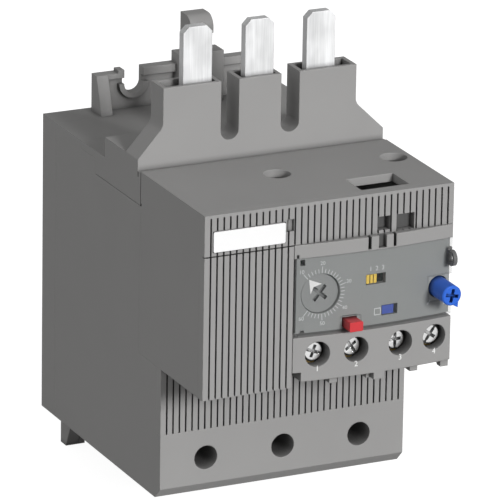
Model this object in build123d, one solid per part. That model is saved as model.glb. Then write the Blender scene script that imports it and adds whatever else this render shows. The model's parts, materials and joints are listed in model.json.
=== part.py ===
from build123d import *
from math import cos, hypot, radians, sin
import os

# A three pole electronic overload relay that plugs in under a contactor.
# X runs to the right, Y to the rear with the mounting face at 0, and Z up from the housing floor.

# Housing
width = 70.0
body_height = 82.3
wall = 2.2
seam = 0.1
tray_depth = 9.0
base_depth = 62.6
lower_reach = 13.6
module_reach = 38.6
module_rise = 2.9
module_height = 49.2
band_top = 17.9
toe = 3.0
half = width / 2
tray_y = -tray_depth
joint_y = -base_depth
lower_y = joint_y - lower_reach
module_y = joint_y - module_reach
module_top = body_height + module_rise
module_floor = module_top - module_height

# Rear tray with the fixing bracket, hook and lugs
back_wall = 2.5
plate_rear = -1.9
plate_front = plate_rear - 3.2
plate_left = 13.1 - half
plate_right = half - 8.0
plate_top = body_height + 10.2
plate_high = plate_top + 0.8
rim_height = 1.4
web_front = plate_rear - 1.7
gusset = 3.3
gusset_foot = plate_front - 3.4
notch_width = 5.6
notch_r = notch_width / 2
notch_x = plate_left + 10.9
notch_lip = 1.7
notch_floor = plate_top - 5.9
hook_left = 3.8
hook_width = 6.6
hook_block_margins = (2.5, 3.7)
hook_block_top = plate_top + 3.7
hook_block_front = plate_front - 2.3
hook_top = plate_top + 14.1
hook_stem = 3.0
hook_reach = 6.7
hook_lip = 4.8
hook_under = 6.6
hook_round = 3.4
lug_x = (half - 19.0, half - 5.7)
lug_front = -3.5
lug_bottom = -11.2
lug_notch_rise = 4.6
tray_screw_r = 1.5
tray_screw_length = 14.0
tray_screw_head_r = 2.6
tray_screw_head = 2.0
tray_screw_slot = 0.8
tray_screw_slot_depth = 1.0
boss_r = tray_screw_r + 1.7
boss_bite = 0.2
boss_length = 14.0
tray_screw_x = half - wall - boss_r + boss_bite
tray_screw_z = (8.0, body_height - 8.3)
tray_screw_end = -tray_screw_head - tray_screw_length

# Terminal tower
tower_lip = joint_y + 0.3
tower_front = joint_y + 2.1
lip_groove = 0.5
lip_height = 1.6
lip_top = module_top - 0.3
flange_z = body_height - 6.3
block_top = body_height + 5.5
slope_top = block_top + 7.85
slope_fillet = 3.0
socket_top = block_top + 18.2
socket_wall = 1.15
slot_floor = block_top + 2.2
slab = 2.0
socket_rear = tower_front + 7.5
block_rear = tower_front + 20.5
flange_rear = tower_front + 26.1
tower_rear = tower_front + 35.0

# Poles and conductors
poles = 3
line_centre = -0.3
line_pitch = 17.5
partition = 2.0
load_pitch = (width - (poles - 1) * partition) / poles
line_x = [line_centre + (i - (poles - 1) / 2) * line_pitch for i in range(poles)]
load_x = [(i - (poles - 1) / 2) * load_pitch for i in range(poles)]
socket_reach = ((10.2, 6.1), (6.3, 5.7), (6.6, 9.7))
socket_x = [(x - left, x + right) for x, (left, right) in zip(line_x, socket_reach)]
bar_width = 8.1
bar_thickness = 2.5
bar_gap = 0.35
bar_front = tower_front + socket_wall + bar_gap
bar_top = socket_top + 15.0
bar_corner = 1.6
load_bar_front = bar_front + 18.5
load_bar_rear = load_bar_front + bar_thickness
load_bar_bottom = wall + 1.0

# Load clamps
load_z = 10.1
access_r = 3.25
guide_r = 5.2
guide_end = lower_y + 11.9
load_travel = 8.0
clamp_rest = 1.2
saddle_thickness = 1.8
cage_wall = 2.0
cage_boss = 4.0
cage_half = load_pitch / 2 - partition / 2 - 2.0
cage_front = load_bar_front - clamp_rest - load_travel - saddle_thickness - cage_boss
cage_z = (load_bar_bottom, load_bar_bottom + 13.8)
saddle_front = cage_front + cage_boss
saddle_half = cage_half - cage_wall - 0.4
saddle_groove_r = 4.0
saddle_groove_depth = 0.8
load_thread_r = 3.0
load_screw_length = 12.0
hex_r = 1.75
hex_depth = 3.0
thread_gap = 0.05
cable_half = cage_half - 1.6
cable_margin = 0.9
partition_top = module_floor - 8.0

# Current transformers
core_gap = 3.0
core_half = (load_pitch - core_gap) / 2
core_depth = 20.0
core_limb = 4.0
core_z = (module_floor, module_floor + 22.0)
core_front = load_bar_front + bar_thickness / 2 - core_depth / 2 - 2.0
core_rear = core_front + core_depth
winding_half = core_half - core_limb - 0.5
winding_build = 2.0
winding_round = 1.2
tray_plate = 2.0
tray_plate_gap = 0.3
bar_slot_gap = 0.4
bend_top = flange_z + 2.5
bend_bottom = core_z[1] + winding_build

# Adjuster
adjuster_width = 44.9
adjuster_left = half - adjuster_width
bulge = 1.4
adjuster_wall = 1.8
adjuster_height = 24.8
strip_height = 3.6
parting_z = module_top - 11.0
adjuster_floor = parting_z - adjuster_height
strip_floor = parting_z - strip_height
cover_floor = adjuster_floor + 0.6
cover_thickness = 1.0
cover_gap = 0.3
faceplate_thickness = 1.6
faceplate_margins = (0.7, 0.1)
frame_depth = 4.2
frame_margins = (0.3, 0.6)
frame_top = 0.8
strip_slot_places = ((20.1, 21.0), (23.1, 25.3), (27.3, 28.1))
strip_slot_floor = strip_floor + 0.3
strip_slot_depth = 1.6
hinge_x = adjuster_left + 1.0
hinge_r = 0.5
hinge_gap = 0.06
hinge_reach = 0.9
hinge_notch_x = (adjuster_left + 2.2, adjuster_left + 3.5)
hinge_notch_height = 1.6
hinge_notch_drop = 0.9
eyelet_x = (half - 1.1, half - 0.1)
eyelet_z = adjuster_floor + 16.0
eyelet_reach = 1.1
eyelet_r = 2.1
eyelet_hole_r = 1.1

# Front cover, ribbed panels and marker plate
panel = 2.5
rib_pitch = 1.8
rib_groove = 0.45
groove_depth = 1.1
groove_top_margin = 0.8
first_groove = 1.75 - half
slit = 0.35
slit_floor = flange_z + 0.4
slit_dot_r = 0.5
parting_groove = 0.35
marker_x = (2.4 - half, 22.4 - half)
marker_z = (parting_z + 1.2, parting_z + 6.6)
marker_sink = 0.9
marker_proud = 0.25
marker_gap = 0.12
marker_round = 0.4
marker_notch_x = (marker_x[1] + 0.3, marker_x[1] + 2.4)
marker_notch_z = (marker_z[0] + 2.8, marker_z[1] + 0.6)
peg_hole_r = 3.55
peg_holes = ((adjuster_left + 6.3, joint_y - 14.7), (half - 4.9, joint_y - 13.9))
window_x = (adjuster_left + 20.4, adjuster_left + 33.9)
window_y = (module_y + 3.8, module_y + 13.0)
latch_pockets = (((23.5, 26.8), (0.9, 4.6)), ((28.8, 33.7), (0.2, 4.6)))

# Dial, sliders and buttons
dial_x = adjuster_left + 7.8
dial_z = adjuster_floor + 10.8
dial_r = 5.2
dial_thickness = 1.7
dial_sink = 0.1
dial_gap = 0.15
dial_shaft_r = 2.0
cross_length = 5.0
cross_width = 1.0
cross_depth = 0.9
cross_turn = 40
slider_gap = 0.25
slider_front = module_y + 0.2
slider_grip = 0.3
class_slider_width = 2.9
class_travel = 2.2
class_window_left = adjuster_left + 20.3
class_window_x = (class_window_left, class_window_left + class_slider_width + class_travel + 2 * slider_gap)
class_window_z = (adjuster_floor + 11.5, adjuster_floor + 14.3)
test_slider_width = 3.3
test_travel = 0.8
test_window_left = adjuster_left + 24.9
test_window_x = (test_window_left, test_window_left + test_slider_width + test_travel + 2 * slider_gap)
test_window_z = (adjuster_floor + 2.7, adjuster_floor + 5.5)
stop_x = adjuster_left + 15.9
stop_z = (adjuster_floor + 0.95, adjuster_floor + 3.5)
stop_width = 3.8
stop_front = module_y - 4.1
stop_back = module_y + 2.3
stop_round = 0.35
stop_travel = 2.0
stop_stem_end = module_y + 5.7
stop_stem_half = 1.0
stop_stem_z = (stop_z[0] + 1.05, stop_z[1])
button_gap = 0.2
reset_x = half - 3.4
reset_z = adjuster_floor + 8.0
reset_r = 2.7
reset_front = module_y - 7.0
reset_back = module_y + 2.6
reset_edge = 0.3
reset_travel = 2.5
reset_hole_gap = 0.25
button_room = 0.5
stem_r = 1.4
stem_front = reset_front + 5.2
stem_end = module_y + 6.2
stem_gap = 0.05
nib_reach = 1.2
nib_angle = -62.0
nib_half_angle = 24.0
nib_sink = 0.2
nib_back = reset_front + 3.5
knob_cross = (3.6, 0.9, 1.4)
knob_cross_turn = 12
spring_wire = 0.22
stop_spring_r = 0.7
stop_spring_turns = 4
reset_spring_r = 0.8
reset_spring_turns = 3

# Circuit board and what stands on it
board_y = module_y + 11.2
board_thickness = 1.6
board_gap = 0.1
board_back = board_y + board_thickness
switch_front = module_y + 5.2
stop_switch_front = switch_front + 4.6
reset_switch_front = stem_end + reset_travel + 0.1
reset_switch_r = 1.9
reset_switch_shift = 0.6
stop_switch_half = 2.2
stop_switch_rise = 2.4
switch_margin = 1.2
switch_drop = 0.7
pot_half = 4.4
pot_front = module_y + 6.6
chip_x = adjuster_left + 17.9
chip_z = adjuster_floor + 7.6
chip_size = 10.0
chip_height = 1.4
capacitor_places = (adjuster_left + 7.9, adjuster_left + 34.4)
capacitor_z = adjuster_floor + 12.6
capacitor_r = 3.1
capacitor_length = 9.0

# Auxiliary terminals and contacts
block_height = 12.0
block_floor = adjuster_floor - block_height
block_bottom = 1.4
block_rear_wall = 2.0
block_step_x = adjuster_left + 2.3
block_step = 2.5
aux_x = tuple(adjuster_left + place for place in (6.7, 17.4, 30.0, 40.0))
aux_z = block_floor + 7.0
aux_hole_r = 3.4
aux_roof = 1.2
divider_floor = block_floor - 2.0
divider_half = 1.1
divider_front = module_y + 0.8
wide_divider = (aux_x[1] + 5.1, aux_x[1] + 8.1)
block_front_wall = module_y + 2.8
chamber_rear = module_y + 7.8
chamber_half = 3.75
chamber_side_wall = 1.7
head_r = 2.85
head_front = module_y + 1.9
head_height = 2.0
head_edge = 0.5
aux_thread_r = 1.75
aux_thread_room = 0.4
aux_screw_end = chamber_rear + 3.8
aux_cross = (3.4, 0.8, 1.2)
aux_slot = 0.6
aux_slot_depth = 0.8
aux_turns = (20, 55, 90, 125)
washer_half = 2.8
washer_thickness = 1.0
washer_gap = 0.1
aux_plate = 1.2
aux_plate_half = 2.7
aux_plate_floor = block_floor + 1.6
arm_half = 1.5
arm_z = (aux_z + 2.4, aux_z + 3.6)
nc_contact_y = chamber_rear + 11.4
no_contact_y = nc_contact_y + 3.0
contact_thickness = 1.0
contact_travel = 1.5
tab_floor = aux_z - 0.8
bridge_z = (aux_z - 0.4, aux_z + 1.6)
bridge_rears = (nc_contact_y + contact_thickness, no_contact_y - contact_travel - thread_gap)
bridge_centres = ((aux_x[0] + aux_x[1]) / 2, (aux_x[2] + aux_x[3]) / 2)
carrier_z = (block_floor + 1.6, aux_z - 1.2)
carrier_y = (nc_contact_y - 2.5, nc_contact_y + 3.5)
carrier_post_half = 1.6
carrier_post_rise = 1.2
coil_x = (aux_x[1] + aux_x[2]) / 2
coil_z = aux_z - 0.4
coil_r = 4.6
coil_y = (carrier_y[1] + 3.7, carrier_y[1] + 13.3)
coil_gap = 0.1
yoke = 1.0
trip_spring_r = 2.0
trip_spring_turns = 2
plunger_r = 1.5
plunger_gap = 0.1
plunger_end = coil_y[1] - 4.0
plunger_post = (2.2, 1.5)


def block(x, y, z):
    """A box between two values on each axis."""
    middle = Pos((x[0] + x[1]) / 2, (y[0] + y[1]) / 2, (z[0] + z[1]) / 2)
    return middle * Box(abs(x[1] - x[0]), abs(y[1] - y[0]), abs(z[1] - z[0]))


def outline(points):
    return make_face(Polyline(*points, close=True))


def along_x(points, x0, x1):
    """Extrudes an outline of (y, z) points from x0 to x1."""
    return Plane.YZ.offset(x0) * extrude(outline(points), x1 - x0)


def along_y(points, y0, y1):
    """Extrudes an outline of (x, z) points from y0 forward to y1."""
    return Plane.XZ.offset(-y0) * extrude(outline(points), y0 - y1)


def along_z(points, z0, z1):
    """Extrudes an outline of (x, y) points from z0 up to z1."""
    return Plane.XY.offset(z0) * extrude(outline(points), z1 - z0)


def rod_y(x, z, radius, y0, y1):
    return Pos(x, (y0 + y1) / 2, z) * Rot(90, 0, 0) * Cylinder(radius, abs(y1 - y0))


def rod_x(y, z, radius, x0, x1):
    return Pos((x0 + x1) / 2, y, z) * Rot(0, 90, 0) * Cylinder(radius, abs(x1 - x0))


def rod_z(x, y, radius, z0, z1):
    return Pos(x, y, (z0 + z1) / 2) * Cylinder(radius, abs(z1 - z0))


def strip(points, thickness):
    """The outline of a strip of even thickness bent along a path, with mitred corners."""
    normals = []
    for (ax, ay), (bx, by) in zip(points, points[1:]):
        length = hypot(bx - ax, by - ay)
        normals.append(((ay - by) / length, (bx - ax) / length))
    left = []
    right = []
    for i, (px, py) in enumerate(points):
        before = normals[max(i - 1, 0)]
        after = normals[min(i, len(normals) - 1)]
        share = thickness / 2 / (1 + before[0] * after[0] + before[1] * after[1])
        shift_x = (before[0] + after[0]) * share
        shift_y = (before[1] + after[1]) * share
        left.append((px + shift_x, py + shift_y))
        right.append((px - shift_x, py - shift_y))
    return left + right[::-1]


def spring(radius, wire, y0, y1, turns):
    """A compression spring along Y, from y0 at the rear forward to y1."""
    length = y0 - y1 - 2 * wire
    path = Helix(pitch=length / turns, height=length, radius=radius)
    section = Plane(origin=path @ 0, z_dir=path % 0) * Circle(wire)
    return Pos(0, y0 - wire, 0) * Rot(90, 0, 0) * sweep(section, path=path)


# The adjuster's front is bowed: an upright cylinder through both its ends
bow_middle = (adjuster_left + half) / 2
bow_chord = (half - adjuster_left) / 2
bow_radius = (bow_chord**2 + bulge**2) / (2 * bulge)
bow_centre_y = module_y - bulge + bow_radius
ahead_y = module_y - 2 * bulge
reset_frame_back = reset_back + reset_travel + button_room
stop_frame_back = stop_back + stop_travel + button_room


def bowed(x, inset, y_rear, z):
    """A block whose front follows the bow, set back by inset."""
    middle_z = (z[0] + z[1]) / 2
    height = z[1] - z[0]
    bow = Pos(bow_middle, bow_centre_y, middle_z) * Cylinder(bow_radius - inset, height)
    return block(x, (ahead_y, y_rear), z) & bow


def bow_y(x):
    """Where the bow's surface lies at x."""
    return bow_centre_y - (bow_radius**2 - (x - bow_middle) ** 2) ** 0.5


# Where the dial's face and the hinge pin lie under the bowed cover
dial_front = bow_y(dial_x - dial_r) + cover_thickness + cover_gap + dial_sink
dial_back = dial_front + dial_thickness
hinge_y = bow_y(hinge_x) + cover_thickness / 2
eyelet_y = bow_y(half) - eyelet_reach


def pair(low, high, margin=0):
    """Two values on an axis, each drawn in by a margin."""
    return (low + margin, high - margin)


def about(middle, reach):
    """The two values that lie at the same reach on either side of a middle."""
    return (middle - reach, middle + reach)


def fixing_bracket():
    points = [
        (plate_left, body_height),
        (plate_left, plate_top),
        (notch_x - notch_r - notch_lip, plate_top),
        (notch_x - notch_r - notch_lip, plate_high),
        (plate_right, plate_high),
        (plate_right, body_height),
    ]
    plate = along_y(points, plate_rear, plate_front)
    web_x = (plate_left + gusset, plate_right - gusset)
    plate -= block(web_x, (web_front, plate_front), (body_height, plate_top - rim_height))
    gusset_points = [
        (plate_rear, body_height),
        (plate_rear, plate_top),
        (plate_front, plate_top),
        (gusset_foot, body_height),
    ]
    plate += along_x(gusset_points, plate_left, plate_left + gusset)
    plate += along_x(gusset_points, plate_right - gusset, plate_right)
    notch_centre_z = notch_floor + notch_r
    rim = rod_y(notch_x, notch_centre_z, notch_r + rim_height, plate_rear, plate_front)
    rim_z = (body_height, notch_centre_z)
    plate += rim & block((plate_left, plate_right), (plate_rear, plate_front), rim_z)
    plate -= rod_y(notch_x, notch_centre_z, notch_r, 1, plate_front - 1)
    plate -= block(about(notch_x, notch_r), (1, plate_front - 1), (notch_centre_z, plate_high + 1))
    return plate + hook()


def hook():
    """The snap hook above the bracket, with a rounded nose, on its block."""
    right = hook_left + hook_width
    block_x = (hook_left - hook_block_margins[0], right + hook_block_margins[1])
    foot = block(block_x, (plate_rear, hook_block_front), (body_height, hook_block_top))
    stem = plate_rear - hook_stem
    nose = plate_rear - hook_reach
    points = [
        (plate_rear, hook_block_top),
        (plate_rear, hook_top),
        (nose, hook_top),
        (nose, hook_top - hook_lip),
        (stem, hook_top - hook_under),
        (stem, hook_block_top),
    ]
    catch = along_x(points, hook_left, right)
    nose_edge = catch.edges().filter_by(Axis.X).sort_by_distance((hook_left, nose, hook_top))[0]
    return foot + fillet(nose_edge, hook_round)


def bottom_lugs():
    middle = (lug_x[0] + lug_x[1] - gusset) / 2
    notch_z = lug_bottom + lug_notch_rise
    lug = block(lug_x, (0, lug_front), (0, lug_bottom))
    lug -= rod_y(middle, notch_z, notch_r, 1, lug_front - 1)
    lug -= block(about(middle, notch_r), (1, lug_front - 1), (lug_bottom - 1, notch_z))
    foot = [(lug_front, 0), (gusset_foot, 0), (lug_front, lug_bottom)]
    lug += along_x(foot, lug_x[1] - gusset, lug_x[1])
    return lug + mirror(lug, Plane.YZ)


def rear_tray():
    tray = block((-half, half), (0, tray_y), (0, body_height))
    inner = (wall, body_height - wall)
    tray -= block((-half + wall, half - wall), (-back_wall, tray_y - 1), inner)
    for x in (-tray_screw_x, tray_screw_x):
        for z in tray_screw_z:
            boss = rod_y(x, z, boss_r, -back_wall, tray_y)
            tray += boss
            tray -= rod_y(x, z, tray_screw_r + seam, 1, tray_y - 1)
            tray -= rod_y(x, z, tray_screw_head_r + seam, 1, -tray_screw_head)
    return tray + fixing_bracket() + bottom_lugs()


def tray_screws():
    screws = []
    for x in (-tray_screw_x, tray_screw_x):
        for z in tray_screw_z:
            head = rod_y(x, z, tray_screw_head_r, 0, -tray_screw_head)
            shank = rod_y(x, z, tray_screw_r, -tray_screw_head, tray_screw_end)
            slot_z = about(z, tray_screw_slot / 2)
            slot = block(about(x, tray_screw_head_r), (1, -tray_screw_slot_depth), slot_z)
            screws.append(head + shank - slot)
    return Compound(children=screws)


def base_housing():
    recess_y = lower_y + panel
    points = [
        (tray_y, 0),
        (lower_y + toe, 0),
        (lower_y, toe),
        (lower_y, band_top),
        (recess_y, band_top),
        (recess_y, module_floor),
        (joint_y, module_floor),
        (joint_y, flange_z),
        (flange_rear, flange_z),
        (flange_rear, body_height - slab),
        (tower_rear, body_height - slab),
        (tower_rear, body_height),
        (tray_y, body_height),
    ]
    housing = along_x(points, -half, half)
    front = recess_y + wall
    step = joint_y + wall
    cavity = [
        (tray_y + 1, wall),
        (front, wall),
        (front, module_floor - wall),
        (step, module_floor - wall),
        (step, module_floor),
        (joint_y - 1, module_floor),
        (joint_y - 1, flange_z + 1),
        (flange_rear + wall, flange_z + 1),
        (flange_rear + wall, body_height - slab - wall),
        (tower_rear + wall, body_height - slab - wall),
        (tower_rear + wall, body_height - wall),
        (tray_y + 1, body_height - wall),
    ]
    housing -= along_x(cavity, -half + wall, half - wall)
    for i in range(poles - 1):
        sides = about((load_x[i] + load_x[i + 1]) / 2, partition / 2)
        housing += block(sides, (flange_rear, front), (wall, partition_top))
    for x in load_x:
        housing += rod_y(x, load_z, guide_r, guide_end, front)
        housing -= rod_y(x, load_z, access_r, guide_end + 1, lower_y - 1)
        entry_y = (load_bar_rear - cable_margin, saddle_front - cable_margin)
        housing -= block(about(x, cable_half), entry_y, (-1, wall + 1))
    for x in (-tray_screw_x, tray_screw_x):
        for z in tray_screw_z:
            housing += rod_y(x, z, boss_r, tray_y, tray_y - boss_length)
            housing -= rod_y(x, z, tray_screw_r + thread_gap, tray_y + 1, tray_screw_end - 1)
    ledge_z = (core_z[0] - tray_plate - wall, core_z[0] - tray_plate)
    for side in (-1, 1):
        ledge_x = (side * (half - wall), side * (half - 2 * wall))
        housing += block(ledge_x, (tray_y, step), ledge_z)
    return housing


def terminal_tower():
    points = [
        (tower_rear, body_height),
        (block_rear, body_height),
        (block_rear, block_top),
        (tower_front, block_top),
        (tower_front, lip_top - lip_height),
        (tower_front - lip_groove, lip_top - lip_height),
        (tower_front - lip_groove, lip_top),
        (tower_lip, lip_top),
        (tower_lip, flange_z + seam),
        (flange_rear, flange_z + seam),
        (flange_rear, body_height - slab),
        (tower_rear, body_height - slab),
    ]
    tower = along_x(points, -half, half)
    front = [(-half, flange_z + seam), (-half, block_top), (socket_x[0][0], slope_top)]
    for i, (x0, x1) in enumerate(socket_x):
        front += [(x0, socket_top), (x1, socket_top)]
        if i < len(socket_x) - 1:
            front += [(x1, slot_floor), (socket_x[i + 1][0], slot_floor)]
    front += [(socket_x[-1][1], slope_top), (half, block_top), (half, flange_z + seam)]
    raised = along_y(front, socket_rear, tower_front)
    for (_, x0), (x1, _) in zip(socket_x, socket_x[1:]):
        middle = (x0 + x1) / 2
        radius = (x1 - x0) / 2
        fill = block((x0, x1), (socket_rear, tower_front), (slot_floor, slot_floor + radius))
        raised += fill - rod_y(middle, slot_floor + radius, radius, 0, module_y)
    for x in (socket_x[0][0], socket_x[-1][1]):
        corner = raised.edges().filter_by(Axis.Y).sort_by_distance((x, tower_front, slope_top))[0]
        raised = fillet(corner, min(slope_fillet, (socket_top - slope_top) / 2))
    tower += raised
    for x0, x1 in socket_x:
        inner_y = (socket_rear - socket_wall, tower_front + socket_wall)
        tower -= block(pair(x0, x1, socket_wall), inner_y, (flange_z - 1, socket_top + 1))
    under_x = (-half + wall, half - wall)
    under_y = (flange_rear - wall, tower_front + socket_wall)
    tower -= block(under_x, under_y, (flange_z - 1, body_height - slab))
    return tower


def line_conductor(i):
    """One stamped bar: contactor prong above, bend rearward, then down to the load clamp."""
    rear_shift = load_bar_front - bar_front
    middle = bar_front + bar_thickness / 2
    path = [
        (middle + rear_shift, load_bar_bottom),
        (middle + rear_shift, bend_bottom),
        (middle, bend_top),
        (middle, bar_top),
    ]
    side = along_x(strip(path, bar_thickness), -half, half)
    top_x = line_x[i]
    low_x = load_x[i]
    h = bar_width / 2
    front = [
        (low_x - h, load_bar_bottom),
        (low_x + h, load_bar_bottom),
        (low_x + h, bend_bottom),
        (top_x + h, bend_top),
        (top_x + h, bar_top - bar_corner),
        (top_x + h - bar_corner, bar_top),
        (top_x - h + bar_corner, bar_top),
        (top_x - h, bar_top - bar_corner),
        (top_x - h, bend_top),
        (low_x - h, bend_bottom),
    ]
    return side & along_y(front, 0, module_y)


def load_cage(i):
    x = load_x[i]
    rear = load_bar_rear + cage_wall
    cage = block(about(x, cage_half), (rear, cage_front), cage_z)
    cage -= block(about(x, cage_half - cage_wall), (load_bar_rear, saddle_front), (0, 2 * cage_z[1]))
    return cage - rod_y(x, load_z, load_thread_r + thread_gap, rear, cage_front - 1)


def load_saddle(i):
    x = load_x[i]
    rear = saddle_front + saddle_thickness
    plate = block(about(x, saddle_half), (rear, saddle_front), cage_z)
    groove_y = rear + saddle_groove_r - saddle_groove_depth
    return plate - rod_z(x, groove_y, saddle_groove_r, 0, 2 * cage_z[1])


def load_screw(i):
    x = load_x[i]
    front = saddle_front - load_screw_length
    screw = rod_y(x, load_z, load_thread_r, saddle_front, front)
    socket = Plane((x, front, load_z), z_dir=(0, 1, 0)) * extrude(RegularPolygon(hex_r, 6), hex_depth)
    return screw - socket


def each_pole(piece):
    return Compound(children=[piece(i) for i in range(poles)])


def transformer_tray():
    x = half - wall - tray_plate_gap
    y = (core_rear + 1, core_front - 1)
    tray = block((-x, x), y, (core_z[0] - tray_plate, core_z[0]))
    slot_y = (load_bar_rear + bar_slot_gap, load_bar_front - bar_slot_gap)
    dip_y = (core_front + core_limb + winding_build + tray_plate_gap, core_front - 2)
    for centre in load_x:
        slot_x = about(centre, bar_width / 2 + bar_slot_gap)
        tray -= block(slot_x, slot_y, (0, 2 * core_z[0]))
        tray -= block(about(centre, winding_half + tray_plate_gap), dip_y, (0, 2 * core_z[0]))
    return tray


def transformer_core(i):
    x = load_x[i]
    core = block(about(x, core_half), (core_rear, core_front), core_z)
    window_y = (core_rear - core_limb, core_front + core_limb)
    return core - block(about(x, core_half - core_limb), window_y, (0, 2 * core_z[1]))


def transformer_winding(i):
    x = load_x[i]
    z = (core_z[0] - winding_build, core_z[1] + winding_build)
    y = (core_front + core_limb + winding_build, core_front - winding_build)
    coil = block(about(x, winding_half), y, z)
    coil = fillet(coil.edges().filter_by(Axis.X), winding_round)
    return coil - block(about(x, half), (core_front + core_limb, core_front), core_z)


def cover_outline(inset):
    """The front cover's L seen from the front, drawn in by inset."""
    return [
        (-half + inset, module_floor + inset),
        (adjuster_left - seam - inset, module_floor + inset),
        (adjuster_left - seam - inset, parting_z + seam + inset),
        (half - inset, parting_z + seam + inset),
        (half - inset, module_top - inset),
        (-half + inset, module_top - inset),
    ]


def front_cover():
    panel_y = module_y + panel
    cover = along_y(cover_outline(0), joint_y, panel_y)
    cover -= along_y(cover_outline(wall), joint_y + 1, panel_y - 1)
    ring = (tower_lip - slit, joint_y + 1)
    cover -= block((-half - 1, half + 1), ring, (slit_floor, module_top + 1))
    for x in (-half, half):
        cover -= rod_x(joint_y, slit_floor, slit_dot_r, x - wall, x + wall)
    for x, y in peg_holes:
        cover -= rod_z(x, y, peg_hole_r, module_top - wall, module_top + 1)
    cover -= block(window_x, window_y, (module_top - 2 * wall, module_top + 1))
    return cover


def groove_cuts(y_front, z0, z1):
    """The fine upright grooves of a ribbed panel, over the whole width."""
    cuts = []
    count = int((half - first_groove) / rib_pitch) + 1
    for i in range(count):
        x = first_groove + i * rib_pitch
        groove_y = (y_front + groove_depth, y_front - 1)
        cuts.append(block(about(x, rib_groove / 2), groove_y, (z0, z1)))
    return cuts


def ribbed_front():
    front = along_y(cover_outline(0), module_y + panel, module_y)
    front -= groove_cuts(module_y, module_floor - 1, module_top - groove_top_margin)
    line = about(parting_z, parting_groove / 2)
    front -= block((-half - 1, adjuster_left + 1), (module_y + groove_depth, module_y - 1), line)
    gap_x = pair(*marker_x, -marker_gap)
    gap_z = pair(*marker_z, -marker_gap)
    front -= block(gap_x, (module_y + marker_sink, module_y - 1), gap_z)
    front -= block(marker_notch_x, (module_y + marker_sink, module_y - 1), marker_notch_z)
    for x, z in latch_pockets:
        pocket_x = (adjuster_left + x[0], adjuster_left + x[1])
        pocket_z = (parting_z + z[0], parting_z + z[1])
        front -= block(pocket_x, (module_y + panel + 1, module_y - 1), pocket_z)
    return front


def lower_ribbed_front():
    front = block((-half, half), (lower_y + panel, lower_y), (band_top, module_floor))
    return front - groove_cuts(lower_y, band_top + seam, module_floor + 1)


def marker_plate():
    y = (module_y + marker_sink, module_y - marker_proud)
    plate = block(marker_x, y, marker_z)
    return fillet(plate.edges().filter_by(Axis.Y), marker_round)


def stop_room(gap, top_gap):
    """The button's outline from below the front up past its top, widened by a gap."""
    return about(stop_x, stop_width / 2 + gap), (0, stop_z[1] + top_gap)


def adjuster_housing():
    plate_inset = cover_thickness + cover_gap + faceplate_thickness
    front_inner_y = module_y + frame_depth
    sides = (adjuster_left, half)
    body = bowed(sides, plate_inset, joint_y, (adjuster_floor, strip_floor))
    body += bowed(sides, 0, joint_y, (strip_floor, parting_z))
    inside_x = pair(*sides, adjuster_wall)
    inside_z = pair(adjuster_floor, parting_z, adjuster_wall)
    body -= block(inside_x, (joint_y + 1, front_inner_y), inside_z)
    opening_x = (inside_x[0] + frame_margins[0], inside_x[1] - frame_margins[1])
    body -= block(opening_x, (front_inner_y + 1, ahead_y), (inside_z[0], strip_floor - frame_top))
    slot_y = (bow_y(bow_middle) + strip_slot_depth, ahead_y)
    for left, right in strip_slot_places:
        slot_x = (adjuster_left + left, adjuster_left + right)
        body -= block(slot_x, slot_y, (strip_slot_floor, parting_z + 1))
    body -= rod_y(reset_x, reset_z, reset_r + reset_hole_gap, reset_frame_back, ahead_y)
    stop_cut_x, stop_cut_z = stop_room(button_gap, button_gap)
    stop_cut_z = (stop_z[0] - button_gap, stop_cut_z[1])
    body -= block(stop_cut_x, (stop_frame_back, ahead_y), stop_cut_z)
    pin_top = strip_floor + hinge_reach + seam
    return body - rod_z(hinge_x, hinge_y, hinge_r + hinge_gap, strip_floor - 1, pin_top)


def faceplate():
    x = (adjuster_left + faceplate_margins[0], half - faceplate_margins[1])
    z = (cover_floor, strip_floor - seam)
    front = cover_thickness + cover_gap
    plate = bowed(x, front, joint_y, z) - bowed(x, front + faceplate_thickness, joint_y, z)
    plate -= rod_y(dial_x, dial_z, dial_r + dial_gap, joint_y, ahead_y)
    plate -= block(class_window_x, (joint_y, ahead_y), class_window_z)
    plate -= block(test_window_x, (joint_y, ahead_y), test_window_z)
    stop_cut_x, stop_cut_z = stop_room(button_gap, button_gap)
    plate -= block(stop_cut_x, (joint_y, ahead_y), stop_cut_z)
    for bottom in (cover_floor - hinge_notch_drop, strip_floor - hinge_notch_drop - hinge_notch_height):
        notch_z = (bottom, bottom + hinge_notch_height)
        plate -= block(hinge_notch_x, (joint_y, ahead_y), notch_z)
    return plate - rod_y(reset_x, reset_z, reset_r + reset_hole_gap, joint_y, ahead_y)


def setting_cover():
    """The clear flap with its hinge pin, its rooms for the two buttons, and the sealing eyelet."""
    x = (hinge_x, half - seam / 2)
    z = (cover_floor, strip_floor - seam)
    plate = bowed(x, 0, joint_y, z) - bowed(x, cover_thickness, joint_y, z)
    knob_room = reset_r + 3 * reset_hole_gap
    plate -= block((reset_x - knob_room, half + 1), (joint_y, ahead_y), about(reset_z, knob_room))
    stop_cut_x, stop_cut_z = stop_room(4 * button_gap, 3 * button_gap)
    plate -= block(stop_cut_x, (joint_y, ahead_y), stop_cut_z)
    plate += rod_z(hinge_x, hinge_y, hinge_r, adjuster_floor + seam, strip_floor + hinge_reach)
    ring = rod_x(eyelet_y, eyelet_z, eyelet_r, *eyelet_x)
    plate += ring & block(eyelet_x, (bow_y(half) + cover_thickness, 2 * module_y), (0, module_top))
    hole_x = pair(*eyelet_x, -1)
    return plate - rod_x(eyelet_y - seam, eyelet_z, eyelet_hole_r, *hole_x)


def cross(x, y, z, length, across, depth, turn):
    """A cross recess cut into a face that looks forward."""
    bar = block((-length / 2, length / 2), (-1, depth), (-across / 2, across / 2))
    both = bar + Rot(0, 90, 0) * bar
    return Pos(x, y, z) * Rot(0, turn, 0) * both


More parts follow.
